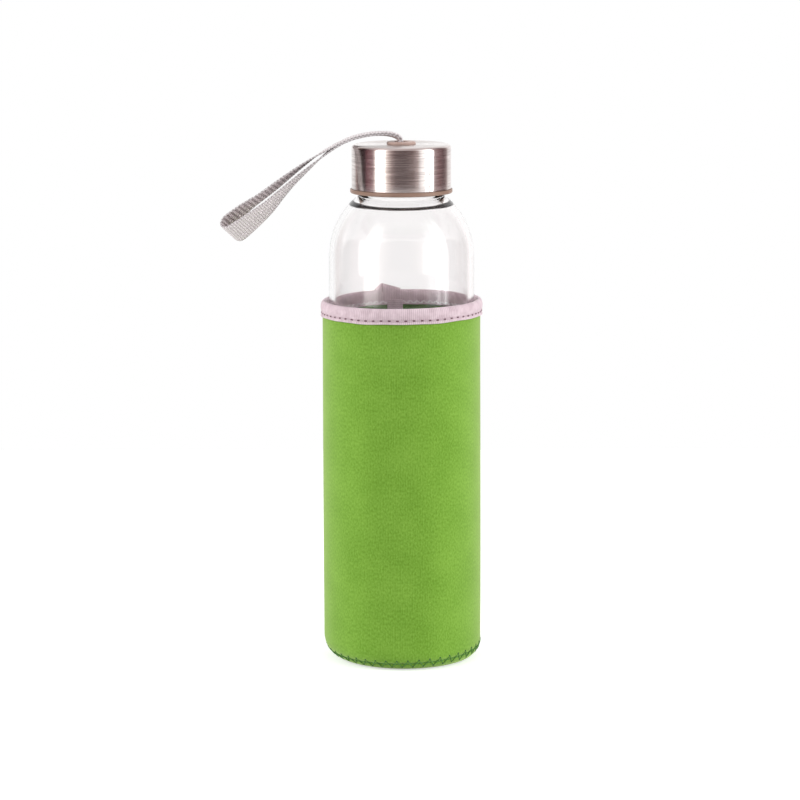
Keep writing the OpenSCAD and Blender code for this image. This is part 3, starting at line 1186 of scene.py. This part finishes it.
    def build_knot(self) -> None:
        """Tie the gathered ends in an overhand knot under the bush."""
        middle = self.knot_size.bottom + self.knot_rise + self.knot_cord_r
        turns = [TURN * i / self.knot_steps for i in range(self.knot_steps)]
        line = [
            Vector((
                self.knot_loop * (math.sin(t) + 2 * math.sin(2 * t)),
                self.knot_loop * (math.cos(t) - 2 * math.cos(2 * t)),
                middle - self.knot_rise * math.sin(3 * t),
            ))
            for t in turns
        ]
        mesh = thread_along(line, self.knot_cord_r, closed=True)
        wrap_map(mesh, self.knot_loop * 2, 0.0, lambda co: co.z)
        settle(make_object(mesh, "strap_knot_tied", WEBBING), "knot", "webbing", "strap_knot")

    def build(self) -> None:
        """Make the webbing and its knot."""
        self.build_webbing()
        self.build_knot()
        LOG.info("webbing length: %.1f mm", self.length())


@dataclass
class NeopreneSleeve:
    """Neoprene tube and floor, sewn together with a zigzag and up the back with a flat seam."""

    size: Extent = extent_of("sleeve_wall")
    edge: Extent = extent_of("sleeve_binding")
    wall: float = 2.3
    wall_drop: float = 0.3
    corner_r: float = 8.6
    corner_sag: float = 2.0
    sag_side: float = math.radians(130)
    seam_h: float = 4.9
    seam_tilt: float = math.radians(3.8)
    seam_rise: float = math.radians(69)
    seam_level: float = 25.0
    # Inside the binding, the cloth is pressed from both sides.
    bound_below: float = 0.5
    bound_in: float = 0.9
    bound_out: float = 0.1
    # Slow waves of the cloth: height, waves round it, millimetres up it for a radian, and phase
    swells: tuple[tuple[float, int, float, float], ...] = ((0.09, 2, 33.0, 0.0), (0.07, 3, -47.0, 1.3))
    swell_from: float = 20.0
    pucker_depth: float = 0.38
    pucker_share: float = 0.4
    pucker_reach: float = 0.9
    back_depth: float = 0.4
    back_reach: float = 0.8
    stitch_steps: int = 5
    stitch_arch: float = 1.9
    stitch_sink: float = 0.9
    stitch_r: float = 0.24
    zigzag_count: int = 44
    zigzag_half: float = 1.9
    hole_r: float = 0.42
    hole_sink: float = 0.14
    # A dark cord laid in the base seam's groove is painted shade for the groove: its radius, how far it sinks
    # into the cloth, and its number of points.
    groove_shade_r: float = 0.26
    groove_shade_sink: float = 0.02
    groove_shade_steps: int = 240
    flat_half: float = 1.6
    flat_pitch: float = 1.5
    flat_start: float = 2.5
    flat_stop: float = 0.5
    # Close rows of faces by the seam: millimetres up the tube, and shares of the way to the floor's middle
    tube_rows: tuple[float, ...] = (0.04, 0.25, 0.5, 0.8, 1.2, 1.7, 2.4, 3.4)
    floor_rows: tuple[float, ...] = (0.001, 0.012, 0.03, 0.055, 0.09, 0.14)
    round_steps: int = 264
    # Radii of the two layers of a sheet before it is put in place
    outer_layer: float = 2.0
    inner_layer: float = 1.0
    merge: float = 1e-3

    def corner(self, angle: float) -> float:
        """Give the radius of the foot's round in a direction, which the cloth's sag makes uneven."""
        return self.corner_r + self.corner_sag * math.cos(angle - self.sag_side)

    def surface(self, angle: float, length: float) -> tuple[float, float, float, float]:
        """Follow the sleeve's outside from the middle of its floor to its edge.

        Args:
            angle: Direction in radians.
            length: Distance along the surface, 0 where the foot's round meets the wall.

        Returns:
            Radius, height, and the outward direction as its radial and upward share.
        """
        corner = self.corner(angle)
        quarter = corner * math.pi / 2
        floor_r = self.size.radius - corner
        if length < -quarter:
            return max(0.0, floor_r + length + quarter), 0.0, 0.0, -1.0
        if length < 0:
            out, up = math.cos(length / corner), math.sin(length / corner)
            return floor_r + corner * out, corner + corner * up, out, up
        return self.size.radius, corner + length, 1.0, 0.0

    def seam(self, angle: float) -> float:
        """Find the base seam in a direction.

        Args:
            angle: Direction in radians.

        Returns:
            Its place along the surface.
        """
        corner = self.corner(angle)
        rise = math.tan(self.seam_tilt) * self.size.radius * math.cos(angle - self.seam_rise)
        z = self.seam_h + rise
        return z - corner if z >= corner else corner * math.asin((z - corner) / corner)

    def dip(self, angle: float, off: float) -> float:
        """Give how far the stitches draw the cloth in.

        Args:
            angle: Direction in radians.
            off: Distance from the base seam along the surface.

        Returns:
            Depth in millimetres.
        """
        pucker = 1 + self.pucker_share * math.cos(self.zigzag_count * angle)
        return self.pucker_depth * pucker * math.exp(-(off / self.pucker_reach) ** 2) + self.back_dip(angle)

    def back_dip(self, angle: float) -> float:
        """Give how far the seam at the back draws the cloth's outside in."""
        around = math.remainder(angle - BACK_SEAM, TURN) * self.size.radius
        return self.back_depth * math.exp(-(around / self.back_reach) ** 2)

    def swell(self, angle: float, z: float) -> float:
        """Give the cloth's slight unevenness over the glass."""
        return sum(high * math.sin(n * angle + z / run + phase) for high, n, run, phase in self.swells)

    def spot(self, angle: float, length: float, lift: float) -> Vector:
        """Find a point over the sleeve's outside.

        Args:
            angle: Direction in radians.
            length: Distance along the surface.
            lift: Distance out of the surface.

        Returns:
            The point in millimetres.
        """
        r, z, out, up = self.surface(angle, length)
        lift += self.swell(angle, z) * ease(length / self.swell_from)
        lift -= self.dip(angle, length - self.seam(angle))
        r += out * lift
        return Vector((r * math.cos(angle), r * math.sin(angle), z + up * lift))

    def sheet(self, rows: Sequence[float], length_at: Callable[[float, float], float]) -> bmesh.types.BMesh:
        """Spin a closed sheet of two layers and put it on the sleeve's surface.

        Args:
            rows: Heights on the spun sheet.
            length_at: Place along the surface for a direction and a height on the spun sheet.

        Returns:
            The sheet in place.
        """
        outline = [(self.outer_layer, z) for z in rows] + [(self.inner_layer, z) for z in reversed(rows)]
        mesh = revolve(outline, self.round_steps, closed=True)
        between = (self.outer_layer + self.inner_layer) / 2
        for vert in mesh.verts:
            angle = math.atan2(vert.co.y, vert.co.x)
            inner = vert.co.xy.length < between
            length = length_at(angle, vert.co.z)
            depth = self.wall - self.back_dip(angle) if inner else 0.0
            if self.surface(angle, length)[1] > self.edge.bottom - self.bound_below:
                depth += -self.bound_in if inner else self.bound_out
            vert.co = self.spot(angle, length, -depth)
        bmesh.ops.remove_doubles(mesh, verts=mesh.verts, dist=self.merge)
        bmesh.ops.recalc_face_normals(mesh, faces=mesh.faces)
        return mesh

    def build_wall(self) -> None:
        """Make the tube from the base seam up into the binding."""
        top = self.size.top - self.wall_drop - self.seam_h
        rows = [*self.tube_rows, *spread(5, self.edge.bottom - 8, 56), *spread(self.edge.bottom - 6, top, 6)]

        def length_at(angle: float, z: float) -> float:
            """Follow the tilted seam near the foot, and level rows above it."""
            level = ease(z / self.seam_level)
            return self.seam(angle) * (1 - level) + (self.seam_h - self.corner(angle)) * level + z

        mesh = self.sheet(rows, length_at)
        wrap_map(mesh, self.size.radius, BACK_SEAM, lambda co: co.z)
        # Faces that look towards the axis get the darker jersey, which is painted shade for the inside of the
        # sleeve.
        for face in mesh.faces:
            face.material_index = int(face.normal.xy.dot(face.calc_center_median().xy) < 0)
        piece = make_object(mesh, "sleeve_tube", NEOPRENE, NEOPRENE_INSIDE_SHADE)
        settle(piece, "sleeve", "neoprene", "sleeve_wall")

    def build_base(self) -> None:
        """Make the floor, turned up to the base seam."""

        def length_at(angle: float, z: float) -> float:
            """Run from the seam at 0 to the middle of the floor at 1."""
            middle = self.corner(angle) * (1 - math.pi / 2) - self.size.radius
            return self.seam(angle) + (middle - self.seam(angle)) * z

        mesh = self.sheet([*self.floor_rows, *spread(0.2, 1.0, 16)], length_at)
        mesh.loops.layers.uv.new(CLOTH_MAP)
        lay_map(mesh, {vert: vert.co.xy for vert in mesh.verts})
        piece = make_object(mesh, "sleeve_floor", NEOPRENE)
        settle(piece, "sleeve", "neoprene", "sleeve_base")

    def sewn(self, holes: Sequence[Point], closed: bool) -> bmesh.types.BMesh:
        """Lay a thread over the surface from hole to hole.

        Args:
            holes: Direction and place along the surface of each needle hole.
            closed: Whether the last hole joins the first.

        Returns:
            The thread's mesh.
        """
        line = []
        follow = list(holes[1:]) + ([(holes[0][0] + TURN, holes[0][1])] if closed else [])
        for (a0, l0), (a1, l1) in zip(holes, follow):
            for k in range(self.stitch_steps):
                t = k / self.stitch_steps
                lift = self.stitch_r * (self.stitch_arch * math.sin(math.pi * t) - self.stitch_sink)
                line.append(self.spot(a0 + (a1 - a0) * t, l0 + (l1 - l0) * t, lift))
        return thread_along(line, self.stitch_r, closed)

    def build_seams(self) -> None:
        """Sew the floor to the tube with a zigzag, and the tube's edges together at the back."""
        zigzag = []
        for i in range(2 * self.zigzag_count):
            angle = TURN * i / (2 * self.zigzag_count)
            zigzag.append((angle, self.seam(angle) + (self.zigzag_half if i % 2 else -self.zigzag_half)))
        # A dark green cord along the base seam: painted shade in the seam's groove, drawn with the green
        # thread's finish.
        turns = [TURN * i / self.groove_shade_steps for i in range(self.groove_shade_steps)]
        groove_shade = [self.spot(turn, self.seam(turn), -self.groove_shade_sink) for turn in turns]
        holes = [self.spot(angle, place, -self.hole_sink) for angle, place in zigzag]
        start = self.seam(BACK_SEAM) + self.flat_start
        end = self.edge.bottom - self.corner(BACK_SEAM) - self.flat_stop
        count = int((end - start) / self.flat_pitch)
        reach = self.flat_half / self.size.radius
        flat = [
            (BACK_SEAM + (reach if i % 2 else -reach), start + (end - start) * i / count)
            for i in range(count + 1)
        ]
        seams = (
            ("base_zigzag", GREEN_THREAD, self.sewn(zigzag, True)),
            ("base_groove_shade", GREEN_THREAD, thread_along(groove_shade, self.groove_shade_r, True)),
            ("base_needle_holes", GREEN_HOLE_SHADE, dots(holes, self.hole_r)),
            ("back_flat_seam", GREEN_THREAD, self.sewn(flat, False)),
        )
        for name, finish, mesh in seams:
            settle(make_object(mesh, name, finish), "sleeve", "neoprene")

    def build(self) -> None:
        """Make the tube, the floor and the seams."""
        self.build_wall()
        self.build_base()
        self.build_seams()


@dataclass
class EdgeBinding:
    """Ribbed tape folded over the sleeve's upper edge, lapped at the back and sewn through."""

    edge: Extent = extent_of("sleeve_binding")
    glass: Extent = extent_of("glass_bottle")
    tape_t: float = 0.5
    bore_gap: float = 0.45
    tilt: float = math.tan(math.radians(0.6))
    # Wavering of the lower edge: height, waves round it and phase
    wavers: tuple[tuple[float, int, float], ...] = ((0.1, 7, 0.4), (0.07, 13, 0.0))
    waver_h: float = 5.0
    overlap_start: float = math.radians(91)
    overlap_end: float = math.radians(111.5)
    overlap_h: float = 2.4
    overlap_puff: float = 0.55
    lift_from: float = 2.0
    lift_over: float = 5.5
    crest_at: float = 0.74
    crease: float = 0.9
    crease_share: float = 0.035
    crease_reach: float = 1.2
    tail_w: float = 7.0
    tail_l: float = 16.0
    tail_t: float = 0.3
    tail_up: float = 2.1
    tail_side: float = math.radians(95.5)
    tail_gap: float = 0.26
    tail_lean: float = 0.3
    tail_lean_over: float = 8.0
    groove: float = 0.55
    lock_count: int = 62
    lock_steps: int = 6
    lock_rise: float = 1.35
    lock_r: float = 0.2
    lock_arch: float = 0.28
    hole_r: float = 0.37
    hole_out: float = 0.06
    hole_turn: float = 0.011
    inner_gap: float = 0.62
    inner_drop: float = 0.2
    inner_wave: float = 0.45
    inner_arch: float = 0.25
    inner_r: float = 0.24
    knot_r: float = 0.55
    knot_drop: float = 0.3
    knot_out: float = 0.05
    round_steps: int = 264
    overlap_steps: int = 60

    def tape_outline(self, puff: float) -> list[Point]:
        """List the folded tape's outline, from its outer lower edge over the top to its inner lower edge.

        Args:
            puff: Distance by which the outline stands out.

        Returns:
            Radii and heights.
        """
        low, top = self.edge.bottom, self.edge.top - self.overlap_h + puff
        out, bore = self.edge.radius + puff, self.glass.radius + self.bore_gap - puff / 4
        sewn = low + self.lock_rise
        rows = (
            (out - 0.05, low), (out - 0.25, low + 0.6), (out - self.groove, sewn), (out - 0.2, low + 2.3),
            (out, low + 3.7), (out - 0.2, top - 1.3), (out - 0.75, top - 0.4), ((out + bore) / 2, top),
            (bore + 0.6, top - 0.4), (bore + 0.12, top - 1.3), (bore, low + 3.6), (bore + 0.15, low + 2.2),
            (bore + 0.4, sewn), (bore + 0.2, low + 0.7), (bore + 0.1, low + 0.1),
        )
        return [(r, z) for r, z in smooth_line(rows, 4)]

    def tape_sway(self, angle: float, z: float) -> float:
        """Give how far the binding rises or falls: it leans, and its lower edge wavers.

        Args:
            angle: Direction in radians.
            z: Height on the level binding.

        Returns:
            Rise in millimetres.
        """
        lean = self.tilt * self.edge.radius * math.cos(angle)
        waver = sum(high * math.sin(count * angle + phase) for high, count, phase in self.wavers)
        return lean + waver * (1 - ease((z - self.edge.bottom) / self.waver_h))

    def spun_tape(self, puff: float, steps: int, turn: float = TURN) -> bmesh.types.BMesh:
        """Spin the folded tape with its faces outwards.

        Args:
            puff: Distance by which it stands out.
            steps: Number of faces along it.
            turn: Angle of the spin in radians.

        Returns:
            A sheet without thickness.
        """
        mesh = revolve(self.tape_outline(puff), steps, turn=turn)
        outer = max(mesh.faces, key=lambda face: face.calc_center_median().xy.length)
        if outer.normal.dot(outer.calc_center_median()) < 0:
            bmesh.ops.reverse_faces(mesh, faces=mesh.faces)
        return mesh

    def build_binding(self) -> None:
        """Fold the tape over the edge all the way round."""
        mesh = self.spun_tape(0.0, self.round_steps)
        for vert in mesh.verts:
            vert.co.z += self.tape_sway(math.atan2(vert.co.y, vert.co.x), vert.co.z)
        wrap_map(mesh, self.edge.radius, BACK_SEAM, lambda co: co.z + co.xy.length)
        piece = make_object(mesh, "edge_binding", TAPE)
        thicken(piece, self.tape_t)
        settle(piece, "sleeve", "binding_tape", "sleeve_binding")

    def build_overlap(self) -> None:
        """Lap the tape's end over its start at the back, with a crease."""
        start, span = self.overlap_start, self.overlap_end - self.overlap_start
        mesh = self.spun_tape(self.overlap_puff, self.overlap_steps, span)
        bmesh.ops.rotate(mesh, verts=mesh.verts, cent=(0, 0, 0), matrix=Matrix.Rotation(start, 3, "Z"))
        for vert in mesh.verts:
            angle = math.atan2(vert.co.y, vert.co.x)
            share = (angle - start) / span
            crest = min(share / self.crest_at, (1 - share) / (1 - self.crest_at))
            above = (vert.co.z - self.edge.bottom - self.lift_from) / self.lift_over
            lift = self.overlap_h * crest * ease(above)
            crease = self.crease * math.exp(-((share - self.crest_at) / self.crease_share) ** 2)
            if vert.co.xy.length < self.glass.radius + self.crease_reach:
                vert.co.xy *= 1 + crease / self.glass.radius
            vert.co.z += self.tape_sway(angle, vert.co.z) + lift
        wrap_map(mesh, self.edge.radius, 0.0, lambda co: co.z + co.xy.length)
        piece = make_object(mesh, "binding_overlap", TAPE)
        thicken(piece, self.tape_t)
        settle(piece, "sleeve", "binding_tape")

    def build_tail(self) -> None:
        """Let the loose end of the tape hang inside the sleeve."""
        mesh = cloth_grid(14, 24)
        bore = self.glass.radius + self.tail_gap
        flat = {}
        for vert in mesh.verts:
            across, down = vert.co.x * self.tail_w / 2, (1 - vert.co.y) / 2 * self.tail_l
            angle = self.tail_side + across / bore
            r = bore + self.tail_lean * ease(down / self.tail_lean_over)
            flat[vert] = (down, across)
            vert.co = (r * math.cos(angle), r * math.sin(angle), self.edge.bottom + self.tail_up - down)
        lay_map(mesh, flat)
        piece = make_object(mesh, "tape_tail", TAPE)
        thicken(piece, self.tail_t, 0.0)
        settle(piece, "sleeve", "binding_tape", "binding_tail")

    def tape_spot(self, angle: float, rise: float, radius: float) -> Vector:
        """Find a point on the binding, with its lean.

        Args:
            angle: Direction in radians.
            rise: Height over the binding's lower edge.
            radius: Distance from the axis.

        Returns:
            The point in millimetres.
        """
        z = self.edge.bottom + rise
        return Vector((radius * math.cos(angle), radius * math.sin(angle), z + self.tape_sway(angle, z)))

    def build_lockstitch(self) -> None:
        """Sew the binding through: straight stitches outside, and looped ones inside."""
        outside = self.edge.radius - self.groove
        inside = self.glass.radius + self.inner_gap
        line, loops = [], []
        for i in range(self.lock_count * self.lock_steps):
            angle = TURN * i / (self.lock_count * self.lock_steps)
            share = (i % self.lock_steps) / self.lock_steps
            arch = math.sin(math.pi * share)
            line.append(self.tape_spot(angle, self.lock_rise, outside + self.lock_arch * arch))
            rise = self.lock_rise - self.inner_drop + self.inner_wave * math.sin(TURN * share)
            loops.append(self.tape_spot(angle, rise, inside - self.inner_arch * arch))
        knots = [
            self.tape_spot(
                TURN * (i + 0.5) / self.lock_count, self.lock_rise - self.knot_drop, inside + self.knot_out,
            )
            for i in range(self.lock_count)
        ]
        holes = [
            self.tape_spot(
                TURN * i / self.lock_count + k * self.hole_turn, self.lock_rise, outside + self.hole_out,
            )
            for i in range(self.lock_count) for k in (-1, 0, 1)
        ]
        stitches = (
            ("binding_lockstitch", GREY_THREAD, thread_along(line, self.lock_r, True)),
            ("binding_inner_stitch", PALE_THREAD, thread_along(loops, self.inner_r, True)),
            ("binding_inner_loops", PALE_THREAD, dots(knots, self.knot_r)),
            ("binding_needle_holes", HOLE_SHADE, dots(holes, self.hole_r)),
        )
        for name, finish, mesh in stitches:
            settle(make_object(mesh, name, finish), "sleeve", "binding_tape")

    def build(self) -> None:
        """Make the binding, its overlap and tail, and its stitches."""
        self.build_binding()
        self.build_overlap()
        self.build_tail()
        self.build_lockstitch()


@dataclass
class Studio:
    """White studio with two tall soft boxes in front, and the camera."""

    eye_mm: tuple[float, float, float] = (-0.22, -1460.0, 344.0)
    pitch: float = math.radians(9.14)
    roll: float = math.radians(0.13)
    lens: float = 158.76
    sensor: float = 36.0
    floor_half: float = 0.5
    ambient: float = 0.58
    ambient_in_glass: float = 3.3
    backdrop: float = 1.1
    ceiling: str = "#F0E6E6"
    peak: float = 5.0
    # Lamps: name, degrees from the camera's side towards +X, and watts
    lamps: tuple[tuple[str, float, float], ...] = (
        ("left_soft_box", -77.0, 11.0), ("right_soft_box", 72.0, 12.0),
    )
    lamp_size: tuple[float, float] = (0.5, 1.1)
    lamp_away: float = 1.3
    lamp_h: float = 0.55
    aim_h: float = 0.1
    # What polished things see: degrees from the camera's side towards +X, colour and brightness
    panorama: tuple[tuple[float, str, float], ...] = (
        (-180, "#FFFFFF", 1.1), (-140, "#FFFFFF", 1.0), (-126, "#A08884", 1.0), (-113, "#382824", 1.0),
        (-95, "#38262A", 1.0), (-86, "#80525A", 1.0), (-71, "#A8868A", 1.0), (-64, "#F0E0DC", 1.0),
        (-61, "#FFFAF6", 3.6), (-40, "#FFFAF6", 3.6), (-37, "#FFF6F0", 1.6), (-31, "#F4E4DE", 1.0),
        (-22, "#A08A88", 1.0), (-13, "#6C5858", 1.0), (8, "#5E4A4A", 1.0), (28, "#7E6866", 1.0),
        (39, "#C0ACAA", 1.0), (48, "#FFFFFF", 1.5), (59, "#FFFFFF", 1.8), (60, "#FFFFFF", 4.6),
        (65, "#FFFFFF", 4.6), (66, "#FFFFFF", 1.6), (72, "#FFFFFF", 1.6), (73, "#FFFFFF", 4.6),
        (79, "#FFFFFF", 4.6), (81, "#C8B4B4", 1.0), (96, "#9A7A7C", 1.0), (115, "#765E60", 1.0),
        (127, "#A08C8C", 1.0), (139, "#FFFAFA", 1.1), (180, "#FFFFFF", 1.1),
    )

    def build_camera(self) -> None:
        """Put the camera where the photograph was taken."""
        data = bpy.data.cameras.new("camera")
        data.lens = self.lens
        data.sensor_width = self.sensor
        camera = bpy.data.objects.new("camera", data)
        camera.location = [value * MM for value in self.eye_mm]
        camera.rotation_euler = (math.pi / 2 - self.pitch, self.roll, 0.0)
        bpy.context.scene.collection.objects.link(camera)
        bpy.context.scene.camera = camera

    def build_world(self) -> None:
        """Light the scene evenly, and show the studio to polished and clear things."""
        world = bpy.data.worlds.new("studio")
        bpy.context.scene.world = world
        world.use_nodes = True
        tree = world.node_tree
        tree.nodes.clear()
        way = add_node(tree, "SeparateXYZ", {0: add_node(tree, "TexCoord").outputs["Generated"]})
        front = add_node(tree, "Math", {"operation": "MULTIPLY", 0: way.outputs["Y"], 1: -1.0})
        azimuth = add_node(tree, "Math", {"operation": "ARCTAN2", 0: way.outputs["X"], 1: front.outputs[0]})
        turn = add_node(tree, "MapRange", {
            "Value": azimuth.outputs[0], "From Min": -math.pi, "From Max": math.pi,
        })
        stops = [
            ((angle + 180) / 360, [channel * bright / self.peak for channel in linear(code)])
            for angle, code, bright in self.panorama
        ]
        dim_walls = add_node(tree, "ValToRGB", {"Fac": turn.outputs[0], "stops": stops})
        walls = add_node(tree, "VectorMath", {
            "operation": "SCALE", 0: dim_walls.outputs[0], "Scale": self.peak,
        })
        above = add_node(tree, "MapRange", {"Value": way.outputs["Z"], "From Min": 0.55, "From Max": 0.8})
        room = add_node(tree, "Mix", {
            "data_type": "RGBA", 0: above.outputs[0], 6: walls.outputs[0], 7: linear(self.ceiling),
        })
        ray = add_node(tree, "LightPath")
        # Light that reaches a matt surface through the glass stands for the soft boxes too.
        matt = add_node(tree, "Mix", {
            "data_type": "RGBA", 0: ray.outputs["Is Transmission Ray"],
            6: grey(self.ambient), 7: grey(self.ambient_in_glass),
        })
        # Straight through the glass, the white backdrop shows from every side. The world counts a
        # ray's depth as one more than its bounces.
        bent = add_node(tree, "Math", {
            "operation": "SUBTRACT", 0: ray.outputs["Ray Depth"], 1: ray.outputs["Transmission Depth"],
        })
        straight = add_node(tree, "Math", {"operation": "LESS_THAN", 0: bent.outputs[0], 1: 1.5})
        backdrop = add_node(tree, "Mix", {
            "data_type": "RGBA", 0: straight.outputs[0], 6: room.outputs[2], 7: grey(self.backdrop),
        })
        light = add_node(tree, "Mix", {
            "data_type": "RGBA", 0: from_polished(tree, ray), 6: matt.outputs[2], 7: backdrop.outputs[2],
        })
        seen = add_node(tree, "Mix", {
            "data_type": "RGBA", 0: ray.outputs["Is Camera Ray"], 6: light.outputs[2], 7: grey(1.0),
        })
        shine = add_node(tree, "Background", {"Color": seen.outputs[2], "Strength": 1.0})
        add_node(tree, "OutputWorld", {"Surface": shine.outputs[0]})

    def build_floor(self) -> None:
        """Lay a white floor that still shows the bottle's shadow."""
        mesh = bmesh.new()
        bmesh.ops.create_grid(mesh, x_segments=1, y_segments=1, size=self.floor_half / MM)
        floor = make_object(mesh, "studio_floor", FLOOR_BOARD)

    def build_lamp(self, name: str, azimuth: float, power: float) -> None:
        """Hang a tall soft box beside the camera.

        Args:
            name: Name of the lamp.
            azimuth: Direction in degrees from the camera's side towards +X.
            power: Power in watts.
        """
        data = bpy.data.lights.new(name, "AREA")
        data.shape = "RECTANGLE"
        data.size, data.size_y = self.lamp_size
        data.energy = power
        lamp = bpy.data.objects.new(name, data)
        turn = math.radians(azimuth)
        place = Vector((self.lamp_away * math.sin(turn), -self.lamp_away * math.cos(turn), self.lamp_h))
        lamp.location = place
        lamp.rotation_euler = (Vector((0, 0, self.aim_h)) - place).to_track_quat("-Z", "Y").to_euler()
        lamp.visible_camera = False
        lamp.visible_glossy = False
        lamp.visible_transmission = False
        bpy.context.scene.collection.objects.link(lamp)

    def build(self) -> None:
        """Make the camera first, then the world, the floor and the lamps."""
        self.build_camera()
        self.build_world()
        self.build_floor()
        for lamp in self.lamps:
            self.build_lamp(*lamp)
        bpy.context.scene.view_settings.view_transform = "Standard"


def main() -> None:
    """Build the studio and the bottle."""
    logging.basicConfig(level=logging.INFO, format="%(name)s %(message)s")
    for maker in (Studio(), GlassBottle(), ScrewCap(), WristStrap(), NeopreneSleeve(), EdgeBinding()):
        LOG.info("building %s", type(maker).__name__)
        maker.build()


if __name__ == "__main__":
    main()
